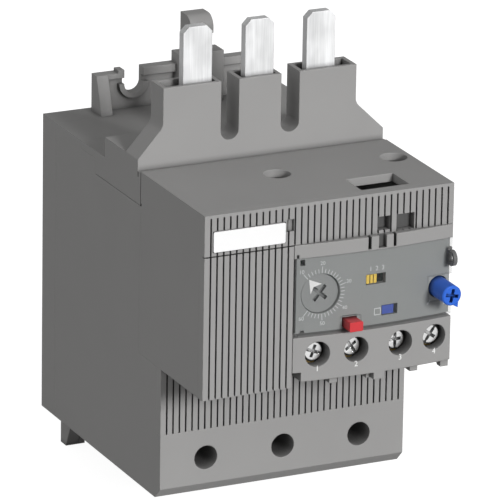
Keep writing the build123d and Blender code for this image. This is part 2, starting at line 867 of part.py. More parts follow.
def setting_dial():
    dial = rod_y(dial_x, dial_z, dial_r, dial_back, dial_front)
    dial += rod_y(dial_x, dial_z, dial_shaft_r, pot_front - thread_gap, dial_back)
    return dial - cross(dial_x, dial_front, dial_z, cross_length, cross_width, cross_depth, cross_turn)


def slider(window_x, window_z, slider_width, ribs):
    """A little switch lever at the left end of its window, with grip ribs."""
    x0 = window_x[0] + slider_gap
    z = pair(*window_z, slider_gap)
    lever = block((x0, x0 + slider_width), (slider_front, switch_front - button_gap), z)
    for i in range(ribs):
        x = x0 + slider_width * (i + 1) / (ribs + 1)
        lever -= block(about(x, slider_grip / 2), (slider_front - 1, slider_front + slider_grip), z)
    return lever


def slide_switch(window_x, window_z):
    x = pair(*window_x, -switch_margin)
    z = (window_z[0] - switch_drop, window_z[1] + switch_margin)
    return block(x, (board_y, switch_front), z)


def stop_button():
    cap = block(about(stop_x, stop_width / 2), (stop_front, stop_back), stop_z)
    cap = fillet(cap.edges().filter_by(Axis.Y), stop_round)
    return cap + block(about(stop_x, stop_stem_half), (stop_back, stop_stem_end), stop_stem_z)


def board_switches():
    """The four switches on the board, behind the two sliders and the two buttons."""
    class_switch = slide_switch(class_window_x, class_window_z)
    test_switch = slide_switch(test_window_x, test_window_z)
    stop_switch_z = (stop_stem_z[0], stop_stem_z[1] + stop_switch_rise)
    stop_switch = block(about(stop_x, stop_switch_half), (board_y, stop_switch_front), stop_switch_z)
    reset_switch = rod_y(reset_x - reset_switch_shift, reset_z, reset_switch_r, board_y, reset_switch_front)
    return Compound(children=[class_switch, test_switch, stop_switch, reset_switch])


def stop_spring():
    coil = spring(stop_spring_r, spring_wire, stop_switch_front, stop_stem_end, stop_spring_turns)
    return Pos(stop_x, 0, (stop_stem_z[0] + stop_stem_z[1]) / 2) * coil


def reset_plunger():
    return rod_y(reset_x, reset_z, stem_r, stem_end, stem_front)


def reset_knob():
    knob = rod_y(reset_x, reset_z, reset_r, reset_back, reset_front)
    front_edge = knob.edges().filter_by(GeomType.CIRCLE).sort_by(Axis.Y)[0]
    knob = chamfer(front_edge, reset_edge)
    angle = radians(nib_angle)
    tip = (reset_x + (reset_r + nib_reach) * cos(angle), reset_z + (reset_r + nib_reach) * sin(angle))
    flanks = []
    for turn in (-nib_half_angle, nib_half_angle):
        a = radians(nib_angle + turn)
        foot = reset_r - nib_sink
        flanks.append((reset_x + foot * cos(a), reset_z + foot * sin(a)))
    knob += along_y([flanks[0], tip, flanks[1]], nib_back, reset_front + reset_edge)
    knob -= rod_y(reset_x, reset_z, stem_r + stem_gap, reset_back + 1, stem_front - stem_gap)
    return knob - cross(reset_x, reset_front, reset_z, *knob_cross, knob_cross_turn)


def reset_spring():
    coil = spring(reset_spring_r, spring_wire, reset_switch_front, stem_end, reset_spring_turns)
    return Pos(reset_x, 0, reset_z) * coil


def circuit_board():
    x = pair(adjuster_left, half, adjuster_wall + board_gap)
    z = pair(adjuster_floor, parting_z, adjuster_wall + board_gap)
    return block(x, (board_back, board_y), z)


def potentiometer():
    return block(about(dial_x, pot_half), (board_y, pot_front), about(dial_z, pot_half))


def processor_chip():
    x = (chip_x, chip_x + chip_size)
    z = (chip_z, chip_z + chip_size)
    return block(x, (board_back, board_back + chip_height), z)


def capacitors():
    end = board_back + capacitor_length
    cans = [rod_y(x, capacitor_z, capacitor_r, board_back, end) for x in capacitor_places]
    return Compound(children=cans)


def terminal_block():
    sides = (adjuster_left, half)
    rear = chamber_rear + block_rear_wall
    body = bowed(sides, 0, joint_y, (block_floor, adjuster_floor - seam))
    inside_x = pair(*sides, adjuster_wall)
    body -= block(inside_x, (joint_y + 1, rear), (block_floor + block_bottom, adjuster_floor + 1))
    body -= block((adjuster_left - 1, block_step_x), (joint_y, 2 * module_y), (0, block_floor + block_step))
    middles = [(aux_x[0] + aux_x[1]) / 2, wide_divider[0], (aux_x[2] + aux_x[3]) / 2, half - divider_half]
    divider_z = (divider_floor, block_floor + 1)
    for x in middles:
        body += block(about(x, divider_half), (chamber_rear, divider_front), divider_z)
    body += bowed(wide_divider, 0, chamber_rear, (divider_floor + seam, block_floor + 1))
    for x in aux_x:
        chamber_x = (x - chamber_half, min(x + chamber_half, half - chamber_side_wall))
        body -= block(chamber_x, (chamber_rear, block_front_wall), (0, adjuster_floor - aux_roof))
        body -= rod_y(x, aux_z, aux_hole_r, block_front_wall + 1, 2 * module_y)
        body -= rod_y(x, aux_z, aux_thread_r + aux_thread_room, chamber_rear - 1, rear + 1)
        arm_top = adjuster_floor + 1
        body -= block(about(x, arm_half + seam), (chamber_rear - 1, rear + 1), (arm_z[0] - seam, arm_top))
    return body


def aux_terminal(i):
    """A terminal plate with its contact arm: the first two are normally closed."""
    x = aux_x[i]
    closed = i < 2
    face = nc_contact_y if closed else no_contact_y
    tab_y = (face, face - contact_thickness) if closed else (face + contact_thickness, face)
    plate_y = (chamber_rear, chamber_rear - aux_plate)
    terminal = block(about(x, aux_plate_half), plate_y, (aux_plate_floor, arm_z[1]))
    terminal += block(about(x, arm_half), (chamber_rear, tab_y[0]), arm_z)
    terminal += block(about(x, arm_half), tab_y, (tab_floor, arm_z[1]))
    return terminal - rod_y(x, aux_z, aux_thread_r + thread_gap, joint_y, module_y)


def aux_washer(i):
    x = aux_x[i]
    front = head_front + head_height
    plate = block(about(x, washer_half), (front + washer_thickness, front), about(aux_z, washer_half))
    return plate - rod_y(x, aux_z, aux_thread_r + washer_gap, joint_y, module_y)


def aux_screw(i):
    """A control terminal screw, its recess a cross with one arm run out into a slot."""
    x = aux_x[i]
    under = head_front + head_height
    head = rod_y(x, aux_z, head_r, under, head_front)
    rim = head.edges().filter_by(GeomType.CIRCLE).sort_by(Axis.Y)[0]
    head = chamfer(rim, head_edge)
    head += rod_y(x, aux_z, aux_thread_r, aux_screw_end, under)
    head -= cross(x, head_front, aux_z, *aux_cross, aux_turns[i])
    slot = block(about(0, head_r), (-1, aux_slot_depth), about(0, aux_slot / 2))
    return head - Pos(x, head_front, aux_z) * Rot(0, aux_turns[i], 0) * slot


def contact_bridge(i):
    """A bar that joins one pair of fixed contacts: 0 is normally closed, 1 normally open."""
    x = (aux_x[2 * i] - arm_half, aux_x[2 * i + 1] + arm_half)
    return block(x, (bridge_rears[i], bridge_rears[i] - contact_thickness), bridge_z)


def contact_carrier():
    x = (bridge_centres[0] - carrier_post_half, bridge_centres[1] + carrier_post_half)
    carrier = block(x, carrier_y, carrier_z)
    for rear, centre in zip(bridge_rears, bridge_centres):
        post_z = (carrier_z[1], bridge_z[1] + carrier_post_rise)
        carrier += block(about(centre, carrier_post_half), carrier_y, post_z)
        slot_y = (rear + thread_gap, rear - contact_thickness - thread_gap)
        carrier -= block(about(centre, half), slot_y, pair(*bridge_z, -thread_gap))
    post_half, post_depth = plunger_post
    post_y = (carrier_y[1] - post_depth, carrier_y[1])
    return carrier + block(about(coil_x, post_half), post_y, (carrier_z[1], coil_z + post_half))


def trip_plunger():
    return rod_y(coil_x, coil_z, plunger_r, carrier_y[1], plunger_end)


def trip_coil():
    coil = rod_y(coil_x, coil_z, coil_r, *coil_y)
    return coil - rod_y(coil_x, coil_z, plunger_r + plunger_gap, coil_y[0] - 1, coil_y[1] + 1)


def trip_yoke():
    reach = coil_r + coil_gap
    y = pair(*coil_y, -yoke)
    z = (block_floor + block_bottom, coil_z + coil_r)
    frame = block(about(coil_x, reach + yoke), y, z)
    frame -= block(about(coil_x, reach), coil_y, (0, 2 * z[1]))
    return frame - rod_y(coil_x, coil_z, plunger_r + plunger_gap, y[0] - 1, coil_y[1] - 1)


def trip_spring():
    coil = spring(trip_spring_r, spring_wire, coil_y[0] - yoke, carrier_y[1], trip_spring_turns)
    return Pos(coil_x, 0, coil_z) * coil


def main():
    parts = {
        "rear_tray": rear_tray(),
        "tray_screws": tray_screws(),
        "base_housing": base_housing(),
        "lower_ribbed_front": lower_ribbed_front(),
        "terminal_tower": terminal_tower(),
        "front_cover": front_cover(),
        "ribbed_front": ribbed_front(),
        "marker_plate": marker_plate(),
        "adjuster_housing": adjuster_housing(),
        "faceplate": faceplate(),
        "setting_cover": setting_cover(),
        "setting_dial": setting_dial(),
        "class_slider": slider(class_window_x, class_window_z, class_slider_width, 2),
        "test_slider": slider(test_window_x, test_window_z, test_slider_width, 0),
        "stop_button": stop_button(),
        "stop_spring": stop_spring(),
        "reset_plunger": reset_plunger(),
        "reset_knob": reset_knob(),
        "board_switches": board_switches(),
        "reset_spring": reset_spring(),
        "circuit_board": circuit_board(),
        "potentiometer": potentiometer(),
        "processor_chip": processor_chip(),
        "capacitors": capacitors(),
        "transformer_tray": transformer_tray(),
        "transformer_cores": each_pole(transformer_core),
        "transformer_windings": each_pole(transformer_winding),
        "load_cages": each_pole(load_cage),
        "terminal_block": terminal_block(),
        "nc_bridge": contact_bridge(0),
        "no_bridge": contact_bridge(1),
        "contact_carrier": contact_carrier(),
        "trip_plunger": trip_plunger(),
        "trip_coil": trip_coil(),
        "trip_yoke": trip_yoke(),
        "trip_spring": trip_spring(),
    }
    for i in range(poles):
        parts[f"line_conductor_{i + 1}"] = line_conductor(i)
        parts[f"load_saddle_{i + 1}"] = load_saddle(i)
        parts[f"load_screw_{i + 1}"] = load_screw(i)
    for i in range(len(aux_x)):
        parts[f"aux_terminal_{i + 1}"] = aux_terminal(i)
        parts[f"aux_washer_{i + 1}"] = aux_washer(i)
        parts[f"aux_screw_{i + 1}"] = aux_screw(i)
    os.makedirs("parts", exist_ok=True)
    for name, shape in parts.items():
        export_step(Pos(0, 0, -body_height / 2) * shape, f"parts/{name}.step")


main()
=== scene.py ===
import json
from math import cos, radians, sin, sqrt

import bmesh
import bpy
from mathutils import Matrix, Vector


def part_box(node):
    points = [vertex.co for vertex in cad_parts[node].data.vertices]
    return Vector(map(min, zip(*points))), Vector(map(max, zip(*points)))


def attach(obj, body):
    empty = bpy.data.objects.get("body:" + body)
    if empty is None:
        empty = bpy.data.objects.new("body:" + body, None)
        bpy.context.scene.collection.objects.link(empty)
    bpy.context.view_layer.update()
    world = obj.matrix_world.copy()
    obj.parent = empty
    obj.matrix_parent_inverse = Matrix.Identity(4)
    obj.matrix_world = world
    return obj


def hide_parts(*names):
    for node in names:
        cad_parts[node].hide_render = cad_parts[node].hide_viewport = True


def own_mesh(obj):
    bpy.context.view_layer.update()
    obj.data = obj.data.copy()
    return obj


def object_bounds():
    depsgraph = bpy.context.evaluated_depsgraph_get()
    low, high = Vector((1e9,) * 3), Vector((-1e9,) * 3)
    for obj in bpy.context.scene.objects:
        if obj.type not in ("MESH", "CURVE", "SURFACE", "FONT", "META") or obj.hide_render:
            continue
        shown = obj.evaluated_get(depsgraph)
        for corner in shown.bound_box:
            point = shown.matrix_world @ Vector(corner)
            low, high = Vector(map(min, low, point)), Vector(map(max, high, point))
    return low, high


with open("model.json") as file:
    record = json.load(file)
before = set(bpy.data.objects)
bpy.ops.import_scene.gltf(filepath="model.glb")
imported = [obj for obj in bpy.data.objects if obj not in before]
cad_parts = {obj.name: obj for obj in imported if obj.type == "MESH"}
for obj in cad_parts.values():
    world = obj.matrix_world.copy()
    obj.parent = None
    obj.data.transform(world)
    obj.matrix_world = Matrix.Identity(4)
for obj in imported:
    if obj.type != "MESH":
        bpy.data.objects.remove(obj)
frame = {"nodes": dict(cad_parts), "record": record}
nodes = frame["nodes"]
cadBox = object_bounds()
mm = 0.001

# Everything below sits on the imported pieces: X right, Y to the rear, Z up, in metres


def lowCorner(node):
    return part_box(node)[0]


def highCorner(node):
    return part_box(node)[1]


def middle(node):
    low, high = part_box(node)
    return (low + high) / 2


# Shader maths: a Signal is one output of a shader tree, and sums and products on it add the Math nodes
class Signal:
    def __init__(self, paint, socket):
        self.paint = paint
        self.socket = socket

    def maths(self, operation, first, second):
        return self.paint.add("Math", {"operation": operation}, {0: first, 1: second})

    def __add__(self, other):
        return self.maths("ADD", self, other)

    __radd__ = __add__

    def __sub__(self, other):
        return self.maths("SUBTRACT", self, other)

    def __rsub__(self, other):
        return self.maths("SUBTRACT", other, self)

    def __mul__(self, other):
        return self.maths("MULTIPLY", self, other)

    __rmul__ = __mul__

    def __gt__(self, other):
        return self.maths("GREATER_THAN", self, other)


class Tree:
    def __init__(self, tree):
        self.tree = tree

    # Any node: its kind, its settings, then the values or links of its sockets
    def add(self, kind, settings=None, values=None, output=0):
        node = self.tree.nodes.new("ShaderNode" + kind)
        for key, value in (settings or {}).items():
            setattr(node, key, value)
        for key, value in (values or {}).items():
            self.feed(node.inputs[key], value)
        return Signal(self, node.outputs[output])

    def feed(self, socket, value):
        if isinstance(value, Signal):
            self.tree.links.new(value.socket, socket)
        else:
            socket.default_value = value

    # Runs from one level to the other while the value goes from the first end to the second
    def fade(self, value, ends, levels=(0.0, 1.0)):
        sockets = {"Value": value, "From Min": ends[0], "From Max": ends[1], "To Min": levels[0], "To Max": levels[1]}
        return self.add("MapRange", None, sockets)


# Painted shade: narrow grooves and holes hold less light than the soft studio gives them, so their base colour is
# darkened
cavityShade = {
    "reach": 1.7 * mm, "deep": 0.22,  # plastic grooves: how wide, and the share of the colour left in them
    "metalReach": 1.4 * mm, "metalDeep": 0.10,
    "holeReach": 9 * mm, "hole": (0.10, 0.46), "ownHole": (0.22, 0.66),  # wide holes: openness when dark and light
    "samples": 8,
}
# Edges found by rounding the normal; in the plastics they are painted paler, as a highlight along the rounding
edgeMask = {"samples": 6, "contrast": 3.0}


class Paint(Tree):
    def __init__(self, name, **constants):
        self.material = bpy.data.materials.new(name)
        self.material.use_nodes = True
        super().__init__(self.material.node_tree)
        self.shader = self.tree.nodes["Principled BSDF"]
        for socket, value in constants.items():
            self.drive(socket.replace("_", " "), value)

    def drive(self, socket, value):
        self.feed(self.shader.inputs[socket], value)

    def place(self):
        return self.add("TexCoord", output="Object")

    # Soft noise between about 0.3 and 0.7; marks gives how many per metre, or how many along each axis
    def noise(self, marks, detail=2.0, roughness=0.5):
        stretch = marks if isinstance(marks, tuple) else (marks,) * 3
        spot = self.add("Mapping", None, {"Vector": self.place(), "Scale": stretch})
        values = {"Vector": spot, "Scale": 1.0, "Detail": detail, "Roughness": roughness}
        return self.add("TexNoise", None, values)

    def blend(self, factor, first, second):
        values = {0: factor, 6: first, 7: second}
        return self.add("Mix", {"data_type": "RGBA"}, values, output=2)

    # 0 on flat faces, rising to 1 where a face turns within the given radius, and the rounded normal
    def edges(self, radius):
        rounded = self.add("Bevel", {"samples": edgeMask["samples"]}, {"Radius": radius})
        flat = self.add("NewGeometry", output="Normal")
        same = self.add("VectorMath", {"operation": "DOT_PRODUCT"}, {0: rounded, 1: flat}, output="Value")
        return (1 - same) * edgeMask["contrast"], rounded

    # 1 in the open, falling towards 0 in grooves and holes narrower than the reach
    def openness(self, reach, ownOnly=False):
        settings = {"samples": cavityShade["samples"], "only_local": ownOnly}
        return self.add("AmbientOcclusion", settings, {"Distance": reach}, output="AO")

    # 0 deep in a wide hole and 1 outside it, also in a plain corner
    def outOfHoles(self, ownOnly):
        return self.fade(self.openness(cavityShade["holeReach"], ownOnly), cavityShade["ownHole" if ownOnly else "hole"])

    def bump(self, height, strength, distance, normal=None):
        values = {"Height": height, "Strength": strength, "Distance": distance}
        if normal:
            values["Normal"] = normal
        self.drive("Normal", self.add("Bump", None, values))


def darker(colour, share):
    return tuple(c * share for c in colour[:3]) + (1,)


def grey(value, warm=0.0):
    return (value * (1 + warm), value, value * (1 - warm), 1)


# Moulded plastics: one look, with a colour, a gloss and a grain for each
plasticLooks = {
    "housing_grey": {"colour": grey(0.296, 0.012), "roughness": 0.56, "grain": 0.10, "edge": 0.00035},
    "rib_grey": {"colour": grey(0.302, 0.012), "roughness": 0.56, "grain": 0.10, "edge": 0.00018},
    "plate_grey": {"colour": (0.284, 0.293, 0.289, 1), "roughness": 0.38, "grain": 0.04, "edge": 0.0002},
    "dial_grey": {"colour": (0.275, 0.283, 0.280, 1), "roughness": 0.36, "grain": 0.04, "edge": 0.0002},
    "marker_white": {"colour": (0.90, 0.90, 0.90, 1), "roughness": 0.42, "grain": 0.03, "edge": 0.0002},
    "slider_yellow": {"colour": (0.86, 0.60, 0.10, 1), "roughness": 0.34, "grain": 0.03, "edge": 0.00012},
    "slider_blue": {"colour": (0.050, 0.090, 0.390, 1), "roughness": 0.30, "grain": 0.03, "edge": 0.00012},
    "button_red": {"colour": (0.57, 0.042, 0.050, 1), "roughness": 0.34, "grain": 0.03, "edge": 0.00025},
    "knob_blue": {"colour": (0.028, 0.135, 0.640, 1), "roughness": 0.34, "grain": 0.03, "edge": 0.00022},
    "inner_black": {"colour": grey(0.030), "roughness": 0.5, "grain": 0.06, "edge": 0.0002},
    "board_green": {"colour": (0.012, 0.110, 0.045, 1), "roughness": 0.35, "grain": 0.05, "edge": 0.0001},
    "capacitor_sleeve": {"colour": (0.012, 0.012, 0.060, 1), "roughness": 0.3, "grain": 0.03, "edge": 0.0002},
}
# What all the plastics share
moulding = {
    "clouds": 60, "grains": 3200,  # per metre: slow changes of shade, and the mould's fine spark grain
    "dark": 0.955, "pale": 1.045, "edgeLitShare": 1.16, "edgeLitMore": 0.006,
    "specular": 0.30, "cloudDulls": 0.1, "edgePolish": 0.08, "grainDepth": 0.00006,
}


def plastic(name, ownOnly=False):
    look = plasticLooks[name]
    colour = look["colour"]
    paint = Paint(name + "_by_cover" if ownOnly else name, Specular_IOR_Level=moulding["specular"])
    cloud = paint.noise(moulding["clouds"], detail=3.0)
    grain = paint.noise(moulding["grains"], detail=1.0)
    edge, rounded = paint.edges(look["edge"])
    # painted highlight: a paler copy of the colour along rounded edges
    edgeLit = tuple(min(c * moulding["edgeLitShare"] + moulding["edgeLitMore"], 1) for c in colour[:3]) + (1,)
    shades = paint.blend(cloud, darker(colour, moulding["dark"]), darker(colour, moulding["pale"]))
    # painted shade: the colour darkens towards the deep share in grooves and wide holes, where shade falls
    openness = paint.add("Math", {"operation": "MINIMUM"}, {0: paint.openness(cavityShade["reach"], ownOnly),
                                                            1: paint.outOfHoles(ownOnly)})
    paint.drive("Base Color", paint.blend(openness, darker(colour, cavityShade["deep"]), paint.blend(edge, shades, edgeLit)))
    paint.drive("Roughness", look["roughness"] + (cloud - 0.5) * moulding["cloudDulls"] - edge * moulding["edgePolish"])
    paint.bump(grain, look["grain"], moulding["grainDepth"], rounded)
    return paint.material


# Metals: drawn or ground marks run along one axis, with duller patches
metalLooks = {
    "tinned_copper": {"colour": (0.86, 0.865, 0.87, 1), "metallic": 0.45, "roughness": 0.42,
                      "marks": (2600, 2600, 70), "depth": 0.20, "contrast": 0.30, "edge": 0.00025},
    "screw_chrome": {"colour": (0.93, 0.93, 0.93, 1), "metallic": 1.0, "roughness": 0.20,
                     "marks": (900, 900, 900), "depth": 0.05, "contrast": 0.10, "edge": 0.0002},
    "zinc_steel": {"colour": (0.56, 0.56, 0.54, 1), "metallic": 1.0, "roughness": 0.36,
                   "marks": (1500, 1500, 300), "depth": 0.10, "contrast": 0.18, "edge": 0.0002},
    "spring_steel": {"colour": (0.50, 0.50, 0.50, 1), "metallic": 1.0, "roughness": 0.30,
                     "marks": (900, 900, 900), "depth": 0.05, "contrast": 0.10, "edge": 0.0001},
    "core_steel": {"colour": (0.26, 0.26, 0.27, 1), "metallic": 1.0, "roughness": 0.45,
                   "marks": (200, 2800, 200), "depth": 0.30, "contrast": 0.30, "edge": 0.0002},
    "copper_wire": {"colour": (0.72, 0.30, 0.13, 1), "metallic": 1.0, "roughness": 0.32,
                    "marks": (200, 200, 3000), "depth": 0.40, "contrast": 0.25, "edge": 0.0002},
    "contact_brass": {"colour": (0.76, 0.55, 0.22, 1), "metallic": 1.0, "roughness": 0.33,
                      "marks": (1500, 300, 1500), "depth": 0.10, "contrast": 0.15, "edge": 0.0002},
}
# What all the metals share
drawing = {
    "patches": (170, 170, 110), "markShare": 1.4, "patchShare": 1.6, "level": 1.0,
    "patchDulls": 0.2, "markDulls": 0.08, "edgePolish": 0.05, "markDepth": 0.00004,
}


def metal(name):
    look = metalLooks[name]
    paint = Paint(name, Metallic=look["metallic"])
    marks = paint.noise(look["marks"], roughness=0.6)
    patches = paint.noise(drawing["patches"])
    edge, rounded = paint.edges(look["edge"])
    bright = marks * drawing["markShare"] + patches * drawing["patchShare"] - drawing["level"]
    drawn = paint.blend(bright, darker(look["colour"], 1 - look["contrast"]), look["colour"])
    # painted shade: recesses such as screw crosses darken towards the metal's deep share
    openness = paint.openness(cavityShade["metalReach"])
    paint.drive("Base Color", paint.blend(openness, darker(look["colour"], cavityShade["metalDeep"]), drawn))
    dull = (patches - 0.5) * drawing["patchDulls"] + marks * drawing["markDulls"]
    paint.drive("Roughness", look["roughness"] + dull - edge * drawing["edgePolish"])
    paint.bump(marks, look["depth"], drawing["markDepth"], rounded)
    return paint.material


# The hinged cover is clear, and its sealing eyelet at the right is thick and cloudy
clearCover = {
    "tint": (0.20, 0.21, 0.21, 1), "tintDark": 0.8, "alpha": 0.05, "glance": 0.40, "glanceBlend": 0.25, "edge": 0.5,
    "edgeRadius": 0.0002, "roughness": 0.10, "haze": 0.05, "hazeMarks": 90, "ripple": 0.02, "rippleDepth": 0.0002,
    "eyeletTint": (0.15, 0.15, 0.15, 1), "eyeletAlpha": 0.75, "eyeletUp": 16 * mm, "eyeletReach": (1.2 * mm, 2.4 * mm),
}


def clearPlastic(name):
    paint = Paint(name, IOR=1.49, Specular_IOR_Level=0.3)
    glance = paint.add("LayerWeight", None, {"Blend": clearCover["glanceBlend"]}, output="Facing")
    haze = paint.noise(clearCover["hazeMarks"], detail=3.0)
    edge, rounded = paint.edges(clearCover["edgeRadius"])
    corners = [vertex.co for vertex in nodes["setting_cover"].data.vertices]
    across, up = (paint.add("SeparateXYZ", None, {0: paint.place()}, output=axis) for axis in "XZ")
    side, rise = clearCover["eyeletReach"]
    eyeletLeft = max(corner.x for corner in corners) - side
    eyeletUp = min(corner.z for corner in corners) + clearCover["eyeletUp"]
    eyelet = (across > eyeletLeft) * (up > eyeletUp - rise) * (1 - (up > eyeletUp + rise))
    tint = paint.blend(haze, darker(clearCover["tint"], clearCover["tintDark"]), clearCover["tint"])
    paint.drive("Base Color", paint.blend(eyelet, tint, clearCover["eyeletTint"]))
    paint.drive("Roughness", clearCover["roughness"] + haze * clearCover["haze"])
    seen = clearCover["alpha"] + glance * clearCover["glance"] + edge * clearCover["edge"]
    paint.drive("Alpha", seen + eyelet * clearCover["eyeletAlpha"])
    paint.bump(haze, clearCover["ripple"], clearCover["rippleDepth"], rounded)
    return paint.material


# The clear cover holds no light back from these, so only their own shape counts in their painted cavity shade
besideCover = ("adjuster_housing", "terminal_block", "faceplate", "setting_dial", "class_slider", "test_slider")


def dressPieces():
    slotNames = {part["node"]: part["material_slot"] for part in frame["record"]["subparts"]}
    byCover = {slotName: plastic(slotName, True) for slotName in sorted({slotNames[node] for node in besideCover})}
    for node, slotName in slotNames.items():
        mesh = nodes[node].data
        mesh.materials.clear()
        mesh.materials.append((byCover if node in besideCover else materials)[slotName])
    print("materials on", len(nodes), "pieces")


materials = {name: plastic(name) for name in plasticLooks}
materials.update({name: metal(name) for name in metalLooks})
materials["clear_cover"] = clearPlastic("clear_cover")
dressPieces()

# Printed marks, and the sheets of painted shade and shadow, are thin skins of paint that follow the face they are on
ink = {"thickness": 0.03 * mm, "roughness": 0.5, "speckles": 4000, "dark": 0.86, "bump": 0.05, "bumpDepth": 0.00002}


def inkMaterial(name, colour):
    paint = Paint(name, Roughness=ink["roughness"])
    speckle = paint.noise(ink["speckles"], detail=1.0)
    paint.drive("Base Color", paint.blend(speckle, darker(colour, ink["dark"]), colour))
    paint.bump(speckle, ink["bump"], ink["bumpDepth"])
    return paint.material


inks = {
    "white": inkMaterial("print_white", (0.90, 0.90, 0.89, 1)),
    "pale": inkMaterial("print_pale", (0.68, 0.70, 0.70, 1)),
    # painted shadow: this black is laid only as dark lines where shadow gaps fall
    "shadowBlack": inkMaterial("painted_shadow_black", (0.03, 0.03, 0.03, 1)),
    # painted shade: a dark sheet laid on pocket and slot floors
    "deep": inkMaterial("pocket_painted_shade", (0.075, 0.075, 0.074, 1)),
}

# The adjuster's front is an upright cylinder: its radius follows from its width and how far it bulges
bowLow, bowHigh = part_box("adjuster_housing")
bowMiddle = (bowLow.x + bowHigh.x) / 2
bowHalf = (bowHigh.x - bowLow.x) / 2
bowBulge = lowCorner("ribbed_front").y - bowLow.y
bowRadius = (bowHalf ** 2 + bowBulge ** 2) / (2 * bowBulge)
plateInset = lowCorner("faceplate").y - bowLow.y


def bowFront(x, inset=0.0):
    return bowLow.y + inset + bowRadius - sqrt(bowRadius ** 2 - (x - bowMiddle) ** 2)


def plateFront(x):
    return bowFront(x, plateInset)


def addPiece(name, mesh, body, material):
    piece = bpy.data.objects.new(name, mesh)
    bpy.context.scene.collection.objects.link(piece)
    mesh.materials.clear()
    mesh.materials.append(material)
    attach(piece, body)
    return piece


# Each spring with its joint and that joint's travel; the springs are laid in as copies of their own meshes, riding with
# the housing
springs = {
    "stop_spring": ("stop_press", 2.0 * mm), "reset_spring": ("reset_press", 2.5 * mm),
    "trip_spring": ("contact_throw", 1.5 * mm),
}


def pressedSprings():
    for node, (joint, travel) in springs.items():
        mesh = nodes[node].data.copy()
        mesh.transform(nodes[node].matrix_world)
        coil = addPiece(node + "_coil", mesh, "housing", materials["spring_steel"])
        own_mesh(coil)
        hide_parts(node)


pressedSprings()
print("springs laid in")


# Lays flat outlines, lists of (x, z) points, on a front given by its y at x, as closed skins
def layOutlines(name, outlines, front, body, inkName):
    build = bmesh.new()
    for points in outlines:
        back = [build.verts.new((x, front(x), z)) for x, z in points]
        face = [build.verts.new((x, front(x) - ink["thickness"], z)) for x, z in points]
        build.faces.new(face)
        build.faces.new(back[::-1])
        for i in range(len(points)):
            j = (i + 1) % len(points)
            build.faces.new((face[i], back[i], back[j], face[j]))
    bmesh.ops.recalc_face_normals(build, faces=build.faces)
    mesh = bpy.data.meshes.new(name)
    build.to_mesh(mesh)
    build.free()
    return addPiece(name, mesh, body, inks[inkName])


figures = {"sizeByHeight": 1.38, "curveSteps": 3}  # a figure stands about 0.72 of its font size


def layNumber(name, text, x, z, height, front, body, inkName):
    half = ink["thickness"] / 2
    curve = bpy.data.curves.new(name, "FONT")
    curve.body = text
    curve.size = height * figures["sizeByHeight"]
    curve.align_x = "CENTER"
    curve.align_y = "CENTER"
    curve.extrude = half
    curve.resolution_u = figures["curveSteps"]
    writer = bpy.data.objects.new(name, curve)
    mesh = bpy.data.meshes.new_from_object(writer)
    bpy.data.objects.remove(writer)
    for vertex in mesh.vertices:
        across, up, out = vertex.co
        vertex.co = (x + across, front(x + across) - half - out, z + up)
    mesh.name = name
    return addPiece(name, mesh, body, inks[inkName])


def bar(x0, x1, z0, z1):
    return [(x0, z0), (x1, z0), (x1, z1), (x0, z1)]


def atAngle(centre, angle, radius):
    return centre.x + radius * cos(radians(angle)), centre.z + radius * sin(radians(angle))


# A radial stroke about a centre, from its inner to its outer radius
def strip(centre, angle, inner, outer, stroke):
    lean = Vector((-sin(radians(angle)), cos(radians(angle)))) * stroke / 2
    first, last = (Vector(atAngle(centre, angle, radius)) for radius in (inner, outer))
    return [tuple(point) for point in (first - lean, last - lean, last + lean, first + lean)]


# The setting scale round the dial: angles in degrees, and the steps that have a long tick and a number
scale = {
    "start": 130, "sweep": 259, "steps": 30, "long": (0, 5, 13, 19, 25, 30),
    "inner": 5.5 * mm, "outer": 6.6 * mm, "longOuter": 7.25 * mm, "stroke": 0.16 * mm,
    "numbers": ("10", "20", "30", "40", "50", "60"), "numberHeight": 1.05 * mm, "numberOut": 8.1 * mm,
}
dial = middle("setting_dial")


def stepAngle(step):
    return scale["start"] - scale["sweep"] * step / scale["steps"]


def settingScale():
    ticks = []
    for step in range(scale["steps"] + 1):
        outer = scale["longOuter"] if step in scale["long"] else scale["outer"]
        ticks.append(strip(dial, stepAngle(step), scale["inner"], outer, scale["stroke"]))
    layOutlines("scale_ticks", ticks, plateFront, "housing", "pale")
    for text, step in zip(scale["numbers"], scale["long"]):
        x, z = atAngle(dial, stepAngle(step), scale["numberOut"])
        layNumber("scale_number_" + text, text, x, z, scale["numberHeight"], plateFront, "housing", "pale")


# The white arrow on the dial's face: its corners in mm from the middle, across and up
arrow = {"tip": (-3.0, 3.9), "right": (0.57, 2.39), "notch": (-1.74, 1.76), "bottom": (-2.53, 0.03)}


def dialArrow():
    face = lowCorner("setting_dial").y
    corners = [(dial.x + across * mm, dial.z + up * mm) for across, up in arrow.values()]
    layOutlines("dial_arrow", [corners], lambda x: face, "dial", "white")


# Marks on the faceplate: class numbers, a test square, painted shadow lines over the button and at the hinge, the
# knob's two places
marks = {
    "classNumbers": ("1", "2", "3"), "classHeight": 1.25 * mm, "classRise": 1.65 * mm, "classPitch": 1.75 * mm,
    "classStart": 0.6, "square": 1.9 * mm, "squareGap": 0.45 * mm, "squareRise": 0.1 * mm, "stroke": 0.2 * mm,
    "stopShadow": 4.2 * mm, "stopShadowRise": 0.45 * mm, "hingeShadow": 0.5 * mm,
    "knobTicks": (-128, -68), "knobTick": (3.9 * mm, 5.2 * mm),
}


